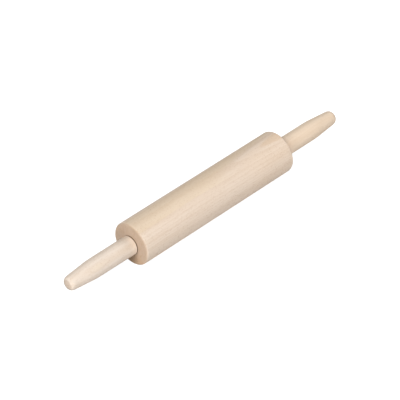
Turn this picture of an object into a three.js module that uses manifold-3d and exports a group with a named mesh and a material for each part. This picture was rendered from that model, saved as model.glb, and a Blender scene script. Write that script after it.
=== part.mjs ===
// Rolling pin: a turned beech barrel that spins on a steel axle between two fixed handles.
// Millimetres, +Z up. The axle lies along X, and the barrel rests on the plane Z = 0.

import * as THREE from 'three';
import { mergeVertices } from 'three/addons/utils/BufferGeometryUtils.js';
import Module from 'manifold-3d';

// Barrel
const BARREL_DIAMETER = 50;
const BARREL_LENGTH = 225;
const BARREL_EDGE_RADIUS = 2.5;
const BORE_RELIEF = 1.5; // room round the axle between the two bushes

// Handles: a straight grip that eases into a taper and ends in a blunt, rounded tip
const HANDLE_DIAMETER = 22;
const HANDLE_LENGTH = 90;
const HANDLE_EDGE_RADIUS = 0.5;
const HANDLE_STANDOFF = 1; // visible gap between barrel and handle
const HANDLE_SOLID_TIP = 36; // wood left beyond the axle hole
const TAPER_LENGTH = 35.5; // from the tip back to the middle of the bend
const TAPER_BEND = 11; // length over which grip turns into taper
const TIP_DIAMETER = 17; // where the rounding of the tip begins
const TIP_ROUNDING = 6.8; // length of the rounded tip
const TIP_SHOULDER = 0.74; // how far the taper's line carries into the rounding
const TIP_BLUNTNESS = 0.8; // share of the tip's radius that stays nearly flat
const DRILL_POINT_ANGLE = 118; // degrees, at the bottom of the axle hole

// Axle
const AXLE_DIAMETER = 8;
const AXLE_CHAMFER = 0.8;
const GLUE_GROOVE_COUNT = 4;
const GLUE_GROOVE_WIDTH = 1.6;
const GLUE_GROOVE_DEPTH = 0.4;
const GLUE_GROOVE_SPACING = 9;

// Bearing bushes: flanged sleeves with crush ribs outside and a grease pocket inside
const BUSH_WALL = 2.4;
const BUSH_SLEEVE_LENGTH = 20;
const BUSH_FLANGE_WIDTH = 2.4;
const BUSH_FLANGE_THICKNESS = 2;
const BUSH_LEAD_IN = 0.8;
const CRUSH_RIB_COUNT = 8;
const CRUSH_RIB_WIDTH = 1.2;
const CRUSH_RIB_HEIGHT = 0.3;
const CRUSH_RIB_ROOT = 0.4; // how deep a rib is rooted in sleeve and flange
const GREASE_POCKET_LENGTH = 8;
const GREASE_POCKET_DEPTH = 0.4;

// Thrust washers
const WASHER_THICKNESS = 1.2;
const WASHER_INSET = 0.9; // how far the washer's rim lies inside the flange's rim

// Fits
const SEAT_CLEARANCE = 0.1; // pressed and glued seats, on each side
const RUNNING_CLEARANCE = 0.1; // axle in bush, on each side
const END_FLOAT = 0.3; // barrel's play along the axle, at each end
const EDGE_BREAK = 0.3; // small chamfer on bores and rims

// Facets
const ROUND_SEGMENTS = 40; // a multiple of four, so that flats lie at the bottom, top and sides
const EDGE_STEPS = 5;
const BEND_STEPS = 6;
const TIP_STEPS = 8;
const RIB_STEPS = 4;

// Sizes that follow from the ones above
const axleRadius = AXLE_DIAMETER / 2;
const axleHoleRadius = axleRadius + SEAT_CLEARANCE;
const axleHoleDepth = HANDLE_LENGTH - HANDLE_SOLID_TIP;
const bushBoreRadius = axleRadius + RUNNING_CLEARANCE;
const sleeveRadius = bushBoreRadius + BUSH_WALL;
const flangeRadius = sleeveRadius + BUSH_FLANGE_WIDTH;
const washerRadius = flangeRadius - WASHER_INSET;
const seatRadius = sleeveRadius + CRUSH_RIB_HEIGHT + SEAT_CLEARANCE;
const counterboreRadius = flangeRadius + SEAT_CLEARANCE;
const reliefRadius = axleRadius + BORE_RELIEF;

// Places along the axle, measured outwards from the middle of the barrel
const barrelFace = BARREL_LENGTH / 2;
const handleFace = barrelFace + HANDLE_STANDOFF;
const washerFace = handleFace - SEAT_CLEARANCE;
const flangeFace = washerFace - WASHER_THICKNESS - END_FLOAT;
const counterboreFloor = flangeFace - BUSH_FLANGE_THICKNESS - SEAT_CLEARANCE;
const seatFloor = counterboreFloor - BUSH_SLEEVE_LENGTH;
const axleEnd = handleFace + axleHoleDepth - SEAT_CLEARANCE;

const wasm = await Module();
wasm.setup();

// A point of a turned outline: distance from the axis, and distance along it.
function at(radius, along) {
  return new THREE.Vector2(radius, along);
}

// The same outline for the other end, walked the other way.
function mirrored(outline) {
  return outline.map((p) => at(p.x, -p.y)).reverse();
}

// A ring's outline, closed on its first point.
function closed(outline) {
  return [...outline, outline[0].clone()];
}

// Turns an outline about the Y axis. The flats, not the corners, lie at the outline's radius.
function turned(outline) {
  const toCorner = 1 / Math.cos(Math.PI / ROUND_SEGMENTS);
  const corners = outline.map((p) => at(p.x * toCorner, p.y));
  return new THREE.LatheGeometry(corners, ROUND_SEGMENTS, Math.PI / ROUND_SEGMENTS);
}

// A closed geometry as a solid that can be joined to others.
function toSolid(geometry) {
  geometry.deleteAttribute('normal');
  geometry.deleteAttribute('uv');
  const merged = mergeVertices(geometry);
  return new wasm.Manifold(
    new wasm.Mesh({
      numProp: 3,
      vertProperties: new Float32Array(merged.attributes.position.array),
      triVerts: new Uint32Array(merged.index.array),
    }),
  );
}

function toGeometry(solid) {
  const mesh = solid.getMesh();
  const geometry = new THREE.BufferGeometry();
  geometry.setAttribute('position', new THREE.BufferAttribute(mesh.vertProperties, 3));
  geometry.setIndex(new THREE.BufferAttribute(mesh.triVerts, 1));
  geometry.computeVertexNormals();
  return geometry;
}

// Barrel: rounded rim, then the stepped bore inwards: mouth, counterbore, bush seat and relief.
function barrelGeometry() {
  const radius = BARREL_DIAMETER / 2;
  const edge = BARREL_EDGE_RADIUS;
  const rim = new THREE.EllipseCurve(radius - edge, barrelFace - edge, edge, edge, 0, Math.PI / 2);
  const end = [
    ...rim.getPoints(EDGE_STEPS),
    at(counterboreRadius + EDGE_BREAK, barrelFace),
    at(counterboreRadius, barrelFace - EDGE_BREAK),
    at(counterboreRadius, counterboreFloor),
    at(seatRadius, counterboreFloor),
    at(seatRadius, seatFloor),
    at(reliefRadius, seatFloor),
  ];
  return turned(closed([...mirrored(end), ...end]));
}

// Handle: from the bottom of its axle hole to the mouth, then up the grip to the tip.
function handleGeometry() {
  const radius = HANDLE_DIAMETER / 2;
  const edge = HANDLE_EDGE_RADIUS;
  const tipRadius = TIP_DIAMETER / 2;
  const bend = HANDLE_LENGTH - TAPER_LENGTH;
  const tipStart = HANDLE_LENGTH - TIP_ROUNDING;
  const slope = (tipRadius - radius) / (tipStart - bend);
  const onTaper = (along) => at(radius + slope * (along - bend), along);
  const halfPoint = THREE.MathUtils.degToRad(DRILL_POINT_ANGLE / 2);
  const rim = new THREE.EllipseCurve(radius - edge, edge, edge, edge, -Math.PI / 2, 0);
  const easing = new THREE.QuadraticBezierCurve(
    at(radius, bend - TAPER_BEND / 2),
    at(radius, bend),
    onTaper(bend + TAPER_BEND / 2),
  );
  const tip = new THREE.CubicBezierCurve(
    onTaper(tipStart),
    onTaper(tipStart + TIP_SHOULDER * TIP_ROUNDING),
    at(TIP_BLUNTNESS * tipRadius, HANDLE_LENGTH),
    at(0, HANDLE_LENGTH),
  );
  return turned([
    at(0, axleHoleDepth + axleHoleRadius / Math.tan(halfPoint)),
    at(axleHoleRadius, axleHoleDepth),
    at(axleHoleRadius, EDGE_BREAK),
    at(axleHoleRadius + EDGE_BREAK, 0),
    ...rim.getPoints(EDGE_STEPS),
    ...easing.getPoints(BEND_STEPS),
    ...tip.getPoints(TIP_STEPS),
  ]);
}

// Axle: a plain rod with V-shaped glue grooves and a chamfer at each end.
function axleGeometry() {
  const end = [];
  for (let i = GLUE_GROOVE_COUNT; i >= 1; i -= 1) {
    const middle = axleEnd - i * GLUE_GROOVE_SPACING;
    end.push(at(axleRadius, middle - GLUE_GROOVE_WIDTH / 2));
    end.push(at(axleRadius - GLUE_GROOVE_DEPTH, middle));
    end.push(at(axleRadius, middle + GLUE_GROOVE_WIDTH / 2));
  }
  end.push(at(axleRadius, axleEnd - AXLE_CHAMFER));
  end.push(at(axleRadius - AXLE_CHAMFER, axleEnd));
  end.push(at(0, axleEnd));
  return turned([...mirrored(end), ...end]);
}

// Bush body: flange face at Y = 0, sleeve pointing down to the middle of the barrel.
function bushBody() {
  const sleeveEnd = -BUSH_FLANGE_THICKNESS - BUSH_SLEEVE_LENGTH;
  const pocketMiddle = sleeveEnd / 2;
  const pocketTop = pocketMiddle + GREASE_POCKET_LENGTH / 2;
  const pocketBottom = pocketMiddle - GREASE_POCKET_LENGTH / 2;
  const outline = [
    at(bushBoreRadius + EDGE_BREAK, sleeveEnd),
    at(sleeveRadius - BUSH_LEAD_IN, sleeveEnd),
    at(sleeveRadius, sleeveEnd + BUSH_LEAD_IN),
    at(sleeveRadius, -BUSH_FLANGE_THICKNESS),
    at(flangeRadius, -BUSH_FLANGE_THICKNESS),
    at(flangeRadius, -EDGE_BREAK),
    at(flangeRadius - EDGE_BREAK, 0),
    at(bushBoreRadius + EDGE_BREAK, 0),
    at(bushBoreRadius, -EDGE_BREAK),
    at(bushBoreRadius, pocketTop),
    at(bushBoreRadius + GREASE_POCKET_DEPTH, pocketTop - GREASE_POCKET_DEPTH),
    at(bushBoreRadius + GREASE_POCKET_DEPTH, pocketBottom + GREASE_POCKET_DEPTH),
    at(bushBoreRadius, pocketBottom),
    at(bushBoreRadius, sleeveEnd + EDGE_BREAK),
  ];
  return turned(closed(outline));
}

// One crush rib: a low rounded ridge from inside the flange to just short of the lead-in.
function crushRib(angle) {
  const half = CRUSH_RIB_WIDTH / 2;
  const section = new THREE.Shape();
  section.moveTo(-half, sleeveRadius - CRUSH_RIB_ROOT);
  section.lineTo(half, sleeveRadius - CRUSH_RIB_ROOT);
  section.lineTo(half, sleeveRadius);
  section.quadraticCurveTo(0, sleeveRadius + 2 * CRUSH_RIB_HEIGHT, -half, sleeveRadius);
  section.closePath();
  const length = BUSH_SLEEVE_LENGTH - 2 * BUSH_LEAD_IN + CRUSH_RIB_ROOT;
  const rib = new THREE.ExtrudeGeometry(section, {
    depth: length,
    bevelEnabled: false,
    curveSegments: RIB_STEPS,
  });
  rib.rotateX(-Math.PI / 2);
  rib.translate(0, CRUSH_RIB_ROOT - BUSH_FLANGE_THICKNESS - length, 0);
  rib.rotateY(angle);
  return rib;
}

function bushGeometry() {
  let bush = toSolid(bushBody());
  for (let i = 0; i < CRUSH_RIB_COUNT; i += 1) {
    bush = bush.add(toSolid(crushRib((i * 2 * Math.PI) / CRUSH_RIB_COUNT)));
  }
  return toGeometry(bush);
}

// Washer: outer face at Y = 0, rim chamfered on the side that runs against the bush.
function washerGeometry() {
  return turned(
    closed([
      at(axleHoleRadius, -WASHER_THICKNESS),
      at(washerRadius - EDGE_BREAK, -WASHER_THICKNESS),
      at(washerRadius, EDGE_BREAK - WASHER_THICKNESS),
      at(washerRadius, 0),
      at(axleHoleRadius, 0),
    ]),
  );
}

function beech(color) {
  return new THREE.MeshStandardMaterial({ color, roughness: 0.62, metalness: 0 });
}

function nylon() {
  return new THREE.MeshStandardMaterial({ color: 0xeeebe2, roughness: 0.45, metalness: 0 });
}

function steel(roughness) {
  return new THREE.MeshStandardMaterial({ color: 0xb9bbbd, roughness, metalness: 1 });
}

// A named piece, moved out along the axle.
function piece(name, geometry, material, along) {
  const mesh = new THREE.Mesh(geometry, material);
  mesh.name = name;
  mesh.position.y = along;
  return mesh;
}

// What sits at one end of the barrel, from the bush outwards.
function endAssembly(side) {
  const end = new THREE.Group();
  end.add(piece(`bearing_bush_${side}`, bushGeometry(), nylon(), flangeFace));
  end.add(piece(`thrust_washer_${side}`, washerGeometry(), steel(0.35), washerFace));
  end.add(piece(`handle_${side}`, handleGeometry(), beech(0xe8d6bd), handleFace));
  return end;
}

function rollingPin() {
  const pin = new THREE.Group();
  pin.add(piece('barrel', barrelGeometry(), beech(0xe0cab0), 0));
  pin.add(piece('axle', axleGeometry(), steel(0.28), 0));
  pin.add(endAssembly('right'));
  const leftEnd = endAssembly('left');
  leftEnd.rotation.z = Math.PI;
  pin.add(leftEnd);
  pin.rotation.z = -Math.PI / 2;
  pin.position.z = BARREL_DIAMETER / 2;
  return pin;
}

export default rollingPin();
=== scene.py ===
# Rolling pin in pale beech: a turned barrel on a hidden steel axle, with two slim tapered handles.
# Metres, +Z up. The axle lies along X, and the barrel rests on the floor at Z = 0.

import math
from collections import namedtuple

import bmesh
import bpy
from mathutils import Matrix, Vector


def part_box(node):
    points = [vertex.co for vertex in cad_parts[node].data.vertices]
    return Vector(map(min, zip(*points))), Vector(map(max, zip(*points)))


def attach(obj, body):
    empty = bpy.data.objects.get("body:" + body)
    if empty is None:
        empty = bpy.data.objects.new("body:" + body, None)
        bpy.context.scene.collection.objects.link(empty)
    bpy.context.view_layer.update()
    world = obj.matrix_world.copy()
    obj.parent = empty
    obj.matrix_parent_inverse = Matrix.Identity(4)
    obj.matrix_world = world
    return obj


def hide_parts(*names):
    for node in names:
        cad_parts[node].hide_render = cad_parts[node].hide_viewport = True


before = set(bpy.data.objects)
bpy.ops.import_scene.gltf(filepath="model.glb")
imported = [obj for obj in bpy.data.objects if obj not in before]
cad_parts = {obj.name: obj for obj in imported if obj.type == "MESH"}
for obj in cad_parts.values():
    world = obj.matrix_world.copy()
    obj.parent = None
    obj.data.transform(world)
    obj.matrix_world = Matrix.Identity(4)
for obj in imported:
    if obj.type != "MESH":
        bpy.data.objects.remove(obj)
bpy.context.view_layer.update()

MM = 0.001

# Turned shapes
ROUND_SEGMENTS = 160
RIM_STEPS = 10
BEND_STEPS = 14
TIP_STEPS = 28
SHARP_ANGLE = math.radians(32)
BARREL_EDGE_RADIUS = 2.5 * MM
BORE_RELIEF = 1.5 * MM
SEAT_CLEARANCE = 0.1 * MM
EDGE_BREAK = 0.3 * MM
CRUSH_RIB_HEIGHT = 0.3 * MM
BUSH_FLANGE_THICKNESS = 2.0 * MM
BUSH_FLANGE_WIDTH = 2.4 * MM
HANDLE_EDGE_RADIUS = 0.5 * MM
TAPER_LENGTH = 35.5 * MM
TAPER_BEND = 11.0 * MM
TIP_DIAMETER = 17.0 * MM
TIP_ROUNDING = 6.8 * MM
TIP_SHOULDER = 0.74
TIP_BLUNTNESS = 0.8
DRILL_POINT_ANGLE = math.radians(118)

# Camera: from the near left, a little above.
# Azimuth and elevation are in degrees, here and for the lights. Azimuth 0 looks along +Y.
CAMERA_AZIMUTH = -45.48
CAMERA_ELEVATION = 38.75
CAMERA_DISTANCE = 2.375
CAMERA_LENS = 198.7
SENSOR_WIDTH = 36.0
CAMERA_LEFT = 6.35 * MM
CAMERA_DOWN = 3.55 * MM

# Lights: soft discs in watts, and an even light from all round
Light = namedtuple("Light", "name azimuth elevation size power")
LIGHTS = (
    Light("key", azimuth=-77, elevation=45, size=5.4, power=650),
    Light("front", azimuth=-13, elevation=11, size=2.4, power=328),
    Light("back", azimuth=105, elevation=45, size=5.4, power=268),
)
LIGHT_DISTANCE = 8.0
ROOM_LIGHT = 0.1

# Stage
WHITE = (1, 1, 1, 1)
TABLE_COLOUR = (0.2, 0.2, 0.2, 1)
TABLE_GLOW = 1.0
TABLE_SIZE = 6.0
BACKDROP_RADIUS = 12.0
BACKDROP_SEGMENTS = 32
CARD_COLOUR = (0.5, 0.5, 0.5, 1)
CARD_GAP = 0.2 * MM
STAGE_ROUGHNESS = 0.9


def part_size(node):
    """Length along X and radius of a turned CAD node."""
    low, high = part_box(node)
    return high.x - low.x, (high.z - low.z) / 2


BARREL_LENGTH, BARREL_RADIUS = part_size("barrel")
HANDLE_LENGTH, HANDLE_RADIUS = part_size("handle_right")
BUSH_LENGTH, FLANGE_RADIUS = part_size("bearing_bush_right")
AXLE_RADIUS = part_size("axle")[1]
AXLE_HEIGHT = (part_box("axle")[0].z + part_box("axle")[1].z) / 2
AXLE_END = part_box("axle")[1].x
BUSH_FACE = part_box("bearing_bush_right")[1].x
HANDLE_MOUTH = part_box("handle_right")[0].x


# Outlines are lists of (distance along the axle, distance from it)

def arc(centre, radius, start, end, steps):
    angles = [start + (end - start) * i / steps for i in range(steps + 1)]
    return [(centre[0] + radius * math.cos(a), centre[1] + radius * math.sin(a)) for a in angles]


def bezier(points, steps):
    """Points on a Bezier curve of any degree, by repeated division of its control line."""
    line = []
    for i in range(steps + 1):
        left = [Vector(p) for p in points]
        while len(left) > 1:
            left = [a.lerp(b, i / steps) for a, b in zip(left, left[1:])]
        line.append(tuple(left[0]))
    return line


def barrel_outline():
    """The right half's rim and stepped bore, with the left half mirrored from it, as a closed ring."""
    face = BARREL_LENGTH / 2
    edge = BARREL_EDGE_RADIUS
    counterbore = FLANGE_RADIUS + SEAT_CLEARANCE
    floor = BUSH_FACE - BUSH_FLANGE_THICKNESS - SEAT_CLEARANCE
    seat = FLANGE_RADIUS - BUSH_FLANGE_WIDTH + CRUSH_RIB_HEIGHT + SEAT_CLEARANCE
    seat_end = floor - (BUSH_LENGTH - BUSH_FLANGE_THICKNESS)
    right = arc((face - edge, BARREL_RADIUS - edge), edge, math.pi / 2, 0, RIM_STEPS)
    right += [
        (face, counterbore + EDGE_BREAK),
        (face - EDGE_BREAK, counterbore),
        (floor, counterbore),
        (floor, seat),
        (seat_end, seat),
        (seat_end, AXLE_RADIUS + BORE_RELIEF),
    ]
    left = [(-x, r) for x, r in reversed(right)]
    return left + right


def axle_hole():
    """From the drill point at the bottom of the hole to its mouth at X = 0."""
    hole = AXLE_RADIUS + SEAT_CLEARANCE
    depth = AXLE_END - HANDLE_MOUTH + SEAT_CLEARANCE
    return [
        (depth + hole / math.tan(DRILL_POINT_ANGLE / 2), 0),
        (depth, hole),
        (EDGE_BREAK, hole),
        (0, hole + EDGE_BREAK),
    ]


def handle_outline():
    """The axle hole, then the straight grip, the bend into the taper, and the blunt round tip."""
    tip_radius = TIP_DIAMETER / 2
    bend = HANDLE_LENGTH - TAPER_LENGTH
    tip_start = HANDLE_LENGTH - TIP_ROUNDING
    slope = (tip_radius - HANDLE_RADIUS) / (tip_start - bend)
    edge = HANDLE_EDGE_RADIUS

    def on_taper(along):
        return along, HANDLE_RADIUS + slope * (along - bend)

    grip = arc((edge, HANDLE_RADIUS - edge), edge, math.pi, math.pi / 2, RIM_STEPS)
    easing = [(bend - TAPER_BEND / 2, HANDLE_RADIUS), (bend, HANDLE_RADIUS), on_taper(bend + TAPER_BEND / 2)]
    shoulder = on_taper(tip_start + TIP_SHOULDER * TIP_ROUNDING)
    tip = [on_taper(tip_start), shoulder, (HANDLE_LENGTH, TIP_BLUNTNESS * tip_radius), (HANDLE_LENGTH, 0)]
    return axle_hole() + grip + bezier(easing, BEND_STEPS) + bezier(tip, TIP_STEPS)


# Meshes and objects

def add_ring(shape, along, radius):
    """A ring of points round the axle, or a single point on it."""
    ring = []
    for i in range(ROUND_SEGMENTS if radius > 0 else 1):
        angle = 2 * math.pi * i / ROUND_SEGMENTS
        ring.append(shape.verts.new((along, radius * math.sin(angle), radius * math.cos(angle))))
    return ring


def join_rings(shape, first, second):
    """A band of faces, four-sided between two rings and three-sided where one is a point."""
    for i in range(ROUND_SEGMENTS):
        corners = []
        for ring, step in ((first, i), (first, i + 1), (second, i + 1), (second, i)):
            corner = ring[step % len(ring)]
            if corner not in corners:
                corners.append(corner)
        shape.faces.new(corners)


def finished_mesh(name, shape):
    mesh = bpy.data.meshes.new(name)
    shape.to_mesh(mesh)
    shape.free()
    return mesh


def turned_mesh(name, outline, closed):
    """A smooth solid of revolution about X. An open outline starts and ends on the axis."""
    shape = bmesh.new()
    rings = [add_ring(shape, along, radius) for along, radius in outline]
    following = rings[1:] + rings[:1] if closed else rings[1:]
    for first, second in zip(rings, following):
        join_rings(shape, first, second)
    bmesh.ops.recalc_face_normals(shape, faces=shape.faces)
    mesh = finished_mesh(name, shape)
    mesh.shade_smooth()
    mesh.set_sharp_from_angle(angle=SHARP_ANGLE)
    return mesh


def add_object(name, mesh, place):
    piece = bpy.data.objects.new(name, mesh)
    piece.matrix_world = place
    bpy.context.scene.collection.objects.link(piece)
    return piece


# Materials

# Colour sockets of a Mix node
MIX_FIRST = 6
MIX_SECOND = 7
MIX_RESULT = 2


class Graph:
    """A material's node tree, built one node at a time."""

    def __init__(self, name):
        self.material = bpy.data.materials.new(name)
        self.material.use_nodes = True
        self.tree = self.material.node_tree
        self.tree.nodes.clear()

    def set(self, socket, value):
        if isinstance(value, bpy.types.NodeSocket):
            self.tree.links.new(value, socket)
        else:
            socket.default_value = value

    def node(self, kind, inputs=None, **settings):
        made = self.tree.nodes.new(kind)
        for key, value in settings.items():
            setattr(made, key, value)
        for key, value in (inputs or {}).items():
            self.set(made.inputs[key], value)
        return made

    def math(self, operation, *values):
        made = self.node("ShaderNodeMath", operation=operation)
        for socket, value in zip(made.inputs, values):
            self.set(socket, value)
        return made.outputs[0]

    def squared(self, value):
        return self.math("POWER", value, 2.0)

    def scaled(self, vector, scale):
        inputs = {0: vector, 1: scale}
        return self.node("ShaderNodeVectorMath", inputs, operation="MULTIPLY").outputs[0]

    def shift(self, vector, amount):
        inputs = {0: vector, 1: (amount, amount, amount)}
        return self.node("ShaderNodeVectorMath", inputs, operation="ADD").outputs[0]

    def noise(self, vector, detail=2.0, roughness=0.5):
        inputs = {"Vector": vector, "Scale": 1.0, "Detail": detail, "Roughness": roughness}
        return self.node("ShaderNodeTexNoise", inputs).outputs[0]

    def cells(self, vector):
        inputs = {"Vector": vector, "Scale": 1.0}
        return self.node("ShaderNodeTexVoronoi", inputs).outputs["Distance"]

    def ramp(self, value, low, high, to_low=0.0, to_high=1.0):
        """Smooth step of value from low to high, given as to_low to to_high."""
        inputs = {"Value": value, "From Min": low, "From Max": high, "To Min": to_low, "To Max": to_high}
        return self.node("ShaderNodeMapRange", inputs, interpolation_type="SMOOTHSTEP").outputs[0]

    def mix(self, share, first, second, blend="MIX"):
        made = self.node("ShaderNodeMix", data_type="RGBA", blend_type=blend)
        self.set(made.inputs[0], share)
        self.set(made.inputs[MIX_FIRST], first)
        self.set(made.inputs[MIX_SECOND], second)
        return made.outputs[MIX_RESULT]

    def bump(self, height, strength, distance):
        inputs = {"Height": height, "Strength": strength, "Distance": distance}
        return self.node("ShaderNodeBump", inputs).outputs[0]

    def shader(self, **inputs):
        named = {key.replace("_", " "): value for key, value in inputs.items()}
        surface = self.node("ShaderNodeBsdfPrincipled", named)
        end = self.node("ShaderNodeOutputMaterial")
        self.tree.links.new(surface.outputs[0], end.inputs[0])
        return self.material


# Beech. Places in the wood are in millimetres: X along the grain, Y across it and Z towards the bark.
# Noise scales are per millimetre, in the same order.
PITH_DISTANCE = 90.0
PLANK_END = 400.0
NOISE_MIDDLE = 0.5
DRIFT_SCALE = (0.011, 0.03, 0.03)
DRIFT_DEPTH = 0.9

# Year rings: late wood darkens over a share of each year, up to the year's end
RING_WIDTH = 2.25
RING_SPREAD_SCALE = 0.3
RING_SPREAD = 0.5
LATE_START = 0.45
LATE_FULL = 0.96
YEAR_END = 0.97
LATE_WOOD = (0.90, 0.85, 0.79, 1)
LATE_SHARE = 0.45

# Rays: cells of noise, dark in the core and gone at the edge
BROAD_RAY_SCALE = (0.33, 1.25, 0.07)
FINE_RAY_SCALE = (0.7, 3.1, 0.12)
RAY_CORE = 0.14
BROAD_RAY_EDGE = 0.32
FINE_RAY_EDGE = 0.34
FINE_RAY_SHARE = 0.6
FLECK = (0.82, 0.74, 0.66, 1)
FLECK_SHARE = 0.85
FLECK_DEPTH = 0.35

# Fibres and stains
FIBRE_SCALE = (0.035, 2.6, 2.6)
FIBRE_DETAIL = 3.0
FIBRE_NOISE_ROUGHNESS = 0.6
FIBRE = (0.93, 0.90, 0.86, 1)
FIBRE_SHARE = 0.5
STAIN_SCALE = (0.012, 0.16, 0.16)
STAIN_START = 0.35
STAIN_FULL = 0.7
STAIN = (0.965, 0.945, 0.92, 1)

# End grain, and the painted shade laid on it in the gap beside the bearings
END_GRAIN = (0.785, 0.71, 0.64, 1)
PAINTED_GAP_SHADE = (0.42, 0.36, 0.30, 1)
GAP_SHADE_FULL = 0.5
GAP_SHADE_END = 2.0
GAP_SHADE_RIM = 0.5

# Sanded finish
WOOD_ROUGHNESS = 0.5
FIBRE_DULLING = 0.16
END_GRAIN_DULLING = 0.12
WOOD_SPECULAR = 0.2
WOOD_BUMP = 0.12
WOOD_RELIEF = 0.12 * MM

# Layers: each colours the wood outwards from a depth, or inwards from it where soft is negative. Along the
# grain it is whole at one place and gone at another. With no depth or no places it fills the plank that way.
# Layers run askew past the middle of the plank, and lean over further across it.
LEAN_START = 6.0
LAYER_LEAN = 0.3
Layer = namedtuple(
    "Layer",
    "colour start soft whole gone",
    defaults=(-PITH_DISTANCE, 1.0, PLANK_END, PLANK_END + 1.0),
)

# A cut shows end grain where the surface faces along the axle, from start to full.
# Painted shade of the gap lies at its mouth, within reach of the axle.
Cut = namedtuple("Cut", "start full share mouth reach")
BARREL_CUT = Cut(start=0.3, full=1.0, share=1.0, mouth=BARREL_LENGTH / 2 / MM, reach=HANDLE_RADIUS / MM)
HANDLE_CUT = Cut(start=0.85, full=0.95, share=0.58, mouth=0.0, reach=10.8)

# One piece's wood. turn is in degrees about the axle. Its rings curve by bow times the square of the distance
# from bow_centre, and first_ring is the depth of one year's edge. skew slants its layers across the grain.
# figure is the strength of its rings and flecks.
Wood = namedtuple("Wood", "pale layers turn bow_centre bow skew first_ring cut seed figure")
Grain = namedtuple("Grain", "along sideways depth")


def grain_axes(g, place, wood):
    """Length along the grain, sideways place, and depth of the growth rings round a far pith."""
    along, across, outward = g.node("ShaderNodeSeparateXYZ", {0: place}).outputs
    from_pith = g.math("ADD", outward, PITH_DISTANCE)
    squares = g.math("ADD", g.squared(from_pith), g.squared(across))
    depth = g.math("SUBTRACT", g.math("SQRT", squares), PITH_DISTANCE)
    bowed = g.squared(g.math("SUBTRACT", along, wood.bow_centre))
    depth = g.math("MULTIPLY_ADD", bowed, wood.bow, depth)
    drift = g.noise(g.shift(g.scaled(place, DRIFT_SCALE), wood.seed))
    depth = g.math("MULTIPLY_ADD", g.math("SUBTRACT", drift, NOISE_MIDDLE), DRIFT_DEPTH, depth)
    sideways = g.math("DIVIDE", g.math("MULTIPLY", across, PITH_DISTANCE), from_pith)
    return Grain(along, sideways, depth)


def layered(g, grain, wood):
    """The plank's pale wood with its layers."""
    aside = g.math("MAXIMUM", grain.sideways, 0.0)
    skewed = g.math("MULTIPLY_ADD", aside, -wood.skew, grain.along)
    beyond = g.math("MAXIMUM", g.math("SUBTRACT", grain.sideways, LEAN_START), 0.0)
    leaning = g.math("MULTIPLY_ADD", beyond, LAYER_LEAN, grain.depth)
    colour = wood.pale
    for layer in wood.layers:
        inside = g.ramp(g.math("SUBTRACT", leaning, layer.start), -layer.soft, layer.soft)
        share = g.math("MULTIPLY", inside, g.ramp(skewed, layer.whole, layer.gone, 1.0, 0.0))
        colour = g.mix(share, colour, layer.colour, "MULTIPLY")
    return colour


def growth_rings(g, grain, wood):
    """Slow darkening towards the end of each year's wood, then a sharp return to pale at the year's edge."""
    at = {"W": g.math("MULTIPLY_ADD", grain.depth, RING_SPREAD_SCALE, wood.seed), "Scale": 1.0}
    spread = g.node("ShaderNodeTexNoise", at, noise_dimensions="1D").outputs[0]
    years = g.math("DIVIDE", g.math("SUBTRACT", grain.depth, wood.first_ring), RING_WIDTH)
    uneven = g.math("MULTIPLY_ADD", g.math("SUBTRACT", spread, NOISE_MIDDLE), RING_SPREAD, years)
    year = g.math("FRACT", uneven)
    return g.math("MULTIPLY", g.ramp(year, LATE_START, LATE_FULL), g.ramp(year, YEAR_END, 1.0, 1.0, 0.0))


def ray_flecks(g, grain):
    """Rays are thin upright plates from pith to bark. Turned wood cuts them into short spindles."""
    place = g.node("ShaderNodeCombineXYZ", dict(enumerate(grain))).outputs[0]
    broad = g.ramp(g.cells(g.scaled(place, BROAD_RAY_SCALE)), RAY_CORE, BROAD_RAY_EDGE, 1.0, 0.0)
    fine = g.ramp(g.cells(g.scaled(place, FINE_RAY_SCALE)), RAY_CORE, FINE_RAY_EDGE, 1.0, 0.0)
    return g.math("MAXIMUM", broad, g.math("MULTIPLY", fine, FINE_RAY_SHARE))


def painted_gap_shade(g, place, along, cut):
    """Painted shade on end grain in the gap beside the bearing: at the mouth, and no further from the axle
    than reach.
    """
    away = g.math("ABSOLUTE", g.math("SUBTRACT", g.math("ABSOLUTE", along), cut.mouth))
    off_axle = g.scaled(place, (0, 1, 1))
    radius = g.node("ShaderNodeVectorMath", {0: off_axle}, operation="LENGTH").outputs["Value"]
    at_mouth = g.ramp(away, GAP_SHADE_FULL, GAP_SHADE_END, 1.0, 0.0)
    return g.math("MULTIPLY", at_mouth, g.ramp(radius, cut.reach - GAP_SHADE_RIM, cut.reach, 1.0, 0.0))


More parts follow.
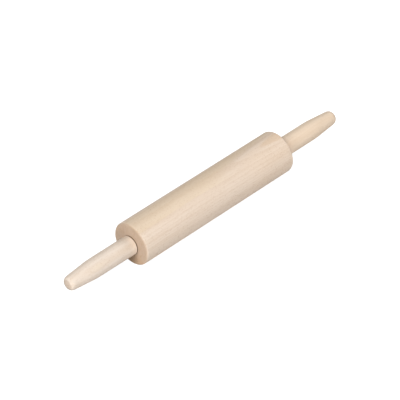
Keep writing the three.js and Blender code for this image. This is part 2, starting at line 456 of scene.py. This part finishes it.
def beech(name, wood):
    """Fine sanded beech, with each tint laid over the plank's own colour."""
    g = Graph(name)
    source = g.node("ShaderNodeTexCoord")
    in_plank = {"Rotation": (math.radians(wood.turn), 0, 0), "Scale": (1 / MM, 1 / MM, 1 / MM)}
    place = g.node("ShaderNodeMapping", {"Vector": source.outputs["Object"], **in_plank}).outputs[0]
    grain = grain_axes(g, place, wood)
    late = growth_rings(g, grain, wood)
    flecks = ray_flecks(g, grain)
    fibres = g.noise(g.shift(g.scaled(place, FIBRE_SCALE), wood.seed), FIBRE_DETAIL, FIBRE_NOISE_ROUGHNESS)
    stains = g.noise(g.shift(g.scaled(place, STAIN_SCALE), wood.seed))
    facing = g.node("ShaderNodeSeparateXYZ", {0: source.outputs["Normal"]}).outputs[0]
    end_grain = g.ramp(g.math("ABSOLUTE", facing), wood.cut.start, wood.cut.full, 0.0, wood.cut.share)

    colour = layered(g, grain, wood)
    tints = (
        (g.math("MULTIPLY", late, LATE_SHARE * wood.figure), LATE_WOOD),
        (g.ramp(stains, STAIN_START, STAIN_FULL), STAIN),
        (g.math("MULTIPLY", fibres, FIBRE_SHARE), FIBRE),
        (g.math("MULTIPLY", flecks, FLECK_SHARE * wood.figure), FLECK),
        (end_grain, END_GRAIN),
        # Painted shade: darkens end grain in the gap beside the bearings.
        (painted_gap_shade(g, place, grain.along, wood.cut), PAINTED_GAP_SHADE),
    )
    for share, tint in tints:
        colour = g.mix(share, colour, tint, "MULTIPLY")

    rough = g.math("MULTIPLY_ADD", fibres, FIBRE_DULLING, WOOD_ROUGHNESS)
    rough = g.math("MULTIPLY_ADD", end_grain, END_GRAIN_DULLING, rough)
    relief = g.math("SUBTRACT", fibres, g.math("MULTIPLY", flecks, FLECK_DEPTH))
    bump = g.bump(relief, WOOD_BUMP, WOOD_RELIEF)
    return g.shader(Base_Color=colour, Roughness=rough, Normal=bump, Specular_IOR_Level=WOOD_SPECULAR)


def barrel_wood():
    """A yellower tongue on the near top, a brown lens at the far end, painted light that lifts and warms the
    top of the far half, and painted warm bounce light in the shade below.
    """
    layers = (
        Layer((0.975, 0.955, 0.885, 1), start=23.35, soft=0.12, whole=-15, gone=45),
        Layer((0.96, 0.91, 0.84, 1), start=26.05, soft=0.10),
        # Painted light: lifts and warms the upper side of the far half of the barrel.
        Layer((1.015, 1.0, 0.98, 1), start=0, soft=1, whole=70, gone=20),
        # Painted bounce light: a warm tint on the lower side that stands in for light thrown between wood
        # surfaces into the shade there.
        Layer((1.05, 0.98, 0.89, 1), start=-9, soft=-6),
    )
    return Wood(
        pale=(0.690, 0.580, 0.485, 1),
        layers=layers,
        turn=-6,
        bow_centre=-55,
        bow=0.00006,
        skew=10.0,
        first_ring=23.35,
        cut=BARREL_CUT,
        seed=3.1,
        figure=1.0,
    )


def left_handle_wood():
    """A long yellower lens towards the bark, painted shade that darkens the wood towards the barrel, and
    painted bounce light that makes its end by the barrel pale.
    """
    layers = (
        Layer((1, 0.99, 0.955, 1), start=11.4, soft=0.2),
        # Painted shade: darkens the handle towards the barrel, where the barrel blocks light.
        Layer((0.95, 0.935, 0.91, 1), whole=6, gone=34),
        # Painted bounce light: makes the handle's end pale beside the barrel's lit end face.
        Layer((1.09, 1.075, 1.06, 1), whole=2, gone=10),
    )
    return Wood(
        pale=(0.712, 0.622, 0.541, 1),
        layers=layers,
        turn=48,
        bow_centre=0,
        bow=0.00027,
        skew=0.0,
        first_ring=11.4,
        cut=HANDLE_CUT,
        seed=11.7,
        figure=0.8,
    )


def right_handle_wood():
    """Plainer and yellower wood, slightly darker towards the bark, and paler at the barrel where painted
    light lifts the barrel's shadow.
    """
    layers = (
        Layer((0.99, 0.97, 0.95, 1), start=8.0, soft=1.5),
        # Painted light: pales the handle near the barrel, lifting the shadow the barrel casts there.
        Layer((1.09, 1.08, 1.09, 1), whole=8, gone=20),
    )
    return Wood(
        pale=(0.712, 0.590, 0.468, 1),
        layers=layers,
        turn=-70,
        bow_centre=-40,
        bow=0.0002,
        skew=0.0,
        first_ring=8.6,
        cut=HANDLE_CUT,
        seed=23.9,
        figure=0.4,
    )


# Nylon. Noise scales are per metre.
NYLON_DARK = (0.80, 0.79, 0.74, 1)
NYLON_PALE = (0.86, 0.85, 0.81, 1)
CLOUD_SCALE = (180, 180, 180)
CLOUD_DETAIL = 3.0
GRIT_SCALE = (4000, 4000, 4000)
GRIT_DETAIL = 1.0
GRIT_DULLING = 0.2
NYLON_ROUGHNESS = 0.32
NYLON_BUMP = 0.1
NYLON_RELIEF = 0.03 * MM
NYLON_SCATTER = 0.15


def nylon():
    """Natural white nylon: faintly mottled, with the soft sheen of a mould."""
    g = Graph("natural_nylon")
    place = g.node("ShaderNodeTexCoord").outputs["Object"]
    cloud = g.noise(g.scaled(place, CLOUD_SCALE), CLOUD_DETAIL)
    grit = g.noise(g.scaled(place, GRIT_SCALE), GRIT_DETAIL)
    colour = g.mix(cloud, NYLON_DARK, NYLON_PALE)
    rough = g.math("MULTIPLY_ADD", grit, GRIT_DULLING, NYLON_ROUGHNESS)
    bump = g.bump(grit, NYLON_BUMP, NYLON_RELIEF)
    return g.shader(Base_Color=colour, Roughness=rough, Normal=bump, Subsurface_Weight=NYLON_SCATTER)


# Steel. Noise scales are per metre, along the axle and across it both ways.
AXLE_STEEL = (0.58, 0.58, 0.59, 1)
DRAW_MARKS = (30, 2500, 2500)
WASHER_ZINC = (0.63, 0.64, 0.66, 1)
TURNING_MARKS = (2500, 300, 300)
MARK_DETAIL = 3.0
MARK_NOISE_ROUGHNESS = 0.7
MARK_DULLING = 0.25
DULL_SCALE = (60, 160, 160)
DULL_TINT = (0.86, 0.86, 0.87, 1)
STEEL_ROUGHNESS = 0.2
STEEL_BUMP = 0.1
STEEL_RELIEF = 0.02 * MM


def steel(name, bright, mark_scale):
    """Bare or plated steel with fine draw or turning marks and duller clouds."""
    g = Graph(name)
    place = g.node("ShaderNodeTexCoord").outputs["Object"]
    marks = g.noise(g.scaled(place, mark_scale), MARK_DETAIL, MARK_NOISE_ROUGHNESS)
    clouds = g.noise(g.scaled(place, DULL_SCALE))
    dull = [level * tint for level, tint in zip(bright, DULL_TINT)]
    colour = g.mix(clouds, bright, dull)
    rough = g.math("MULTIPLY_ADD", marks, MARK_DULLING, STEEL_ROUGHNESS)
    bump = g.bump(marks, STEEL_BUMP, STEEL_RELIEF)
    return g.shader(Base_Color=colour, Metallic=1.0, Roughness=rough, Normal=bump)


def dress(node, material):
    """Gives a carried-over CAD node its finish."""
    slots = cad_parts[node].data.materials
    slots.clear()
    slots.append(material)


# Pieces

def make_barrel():
    mesh = turned_mesh("barrel_wood", barrel_outline(), closed=True)
    mesh.materials.append(beech("barrel_beech", barrel_wood()))
    piece = add_object("barrel_wood", mesh, Matrix.Translation((0, 0, AXLE_HEIGHT)))
    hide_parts("barrel")
    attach(piece, "barrel")


def make_handle(side, turn, wood):
    name = f"handle_{side}_wood"
    mesh = turned_mesh(name, handle_outline(), closed=False)
    mesh.materials.append(beech(f"handle_{side}_beech", wood))
    place = Matrix.Rotation(turn, 4, "Z") @ Matrix.Translation((HANDLE_MOUTH, 0, AXLE_HEIGHT))
    piece = add_object(name, mesh, place)
    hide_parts(f"handle_{side}")
    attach(piece, "handles")


def make_pieces():
    make_barrel()
    make_handle("left", math.pi, left_handle_wood())
    make_handle("right", 0, right_handle_wood())
    dress("axle", steel("drawn_steel", AXLE_STEEL, DRAW_MARKS))
    white = nylon()
    zinc = steel("zinc_plate", WASHER_ZINC, TURNING_MARKS)
    for side in ("left", "right"):
        dress(f"bearing_bush_{side}", white)
        dress(f"thrust_washer_{side}", zinc)


# Stage, camera and lights

def flat_sheet():
    shape = bmesh.new()
    bmesh.ops.create_grid(shape, x_segments=1, y_segments=1, size=TABLE_SIZE / 2)
    return shape


def hollow_ball():
    shape = bmesh.new()
    count = BACKDROP_SEGMENTS
    bmesh.ops.create_uvsphere(shape, u_segments=count, v_segments=count, radius=BACKDROP_RADIUS)
    return shape


def add_stage(name, shape, height, material):
    mesh = finished_mesh(name, shape)
    mesh.materials.append(material)
    piece = add_object(name, mesh, Matrix.Translation((0, 0, height)))
    return piece


def make_stage():
    """A glowing table top and backdrop that only the camera sees, and a white card that throws light back."""
    glow = {"Emission_Color": WHITE, "Emission_Strength": TABLE_GLOW}
    top = Graph("table_top").shader(Base_Color=TABLE_COLOUR, Roughness=STAGE_ROUGHNESS, **glow)
    floor = add_stage("floor", flat_sheet(), 0, top)
    backdrop = add_stage("backdrop", hollow_ball(), 0, top)
    for seen in (floor, backdrop):
        seen.visible_diffuse = False
        seen.visible_glossy = False
        seen.visible_transmission = False
        seen.visible_shadow = False
    white = Graph("white_card").shader(Base_Color=CARD_COLOUR, Roughness=STAGE_ROUGHNESS)
    card = add_stage("bounce_card", flat_sheet(), -CARD_GAP, white)
    card.visible_camera = False


def pointing(azimuth, elevation):
    """Unit vector from the pin towards a viewer at that azimuth and elevation."""
    turn = math.radians(azimuth)
    rise = math.radians(elevation)
    level = math.cos(rise)
    return Vector((math.sin(turn) * level, -math.cos(turn) * level, math.sin(rise)))


def add_looking(name, data, back):
    """A camera or light that looks the opposite way to back."""
    made = bpy.data.objects.new(name, data)
    made.rotation_mode = "QUATERNION"
    made.rotation_quaternion = (-back).to_track_quat("-Z", "Y")
    bpy.context.scene.collection.objects.link(made)
    return made


def make_camera():
    data = bpy.data.cameras.new("camera")
    data.lens = CAMERA_LENS
    data.sensor_width = SENSOR_WIDTH
    back = pointing(CAMERA_AZIMUTH, CAMERA_ELEVATION)
    camera = add_looking("camera", data, back)
    aside = camera.rotation_quaternion @ Vector((-CAMERA_LEFT, -CAMERA_DOWN, 0))
    camera.location = Vector((0, 0, AXLE_HEIGHT)) + back * CAMERA_DISTANCE + aside
    bpy.context.scene.camera = camera


def make_light(light):
    data = bpy.data.lights.new(light.name, "AREA")
    data.shape = "DISK"
    data.size = light.size
    data.energy = light.power
    back = pointing(light.azimuth, light.elevation)
    add_looking(light.name, data, back).location = back * LIGHT_DISTANCE


def make_world():
    world = bpy.data.worlds.new("studio")
    world.use_nodes = True
    background = world.node_tree.nodes["Background"]
    background.inputs["Color"].default_value = WHITE
    background.inputs["Strength"].default_value = ROOM_LIGHT
    scene = bpy.context.scene
    scene.world = world
    scene.view_settings.view_transform = "Standard"


make_pieces()
make_stage()
make_camera()
for light in LIGHTS:
    make_light(light)
make_world()
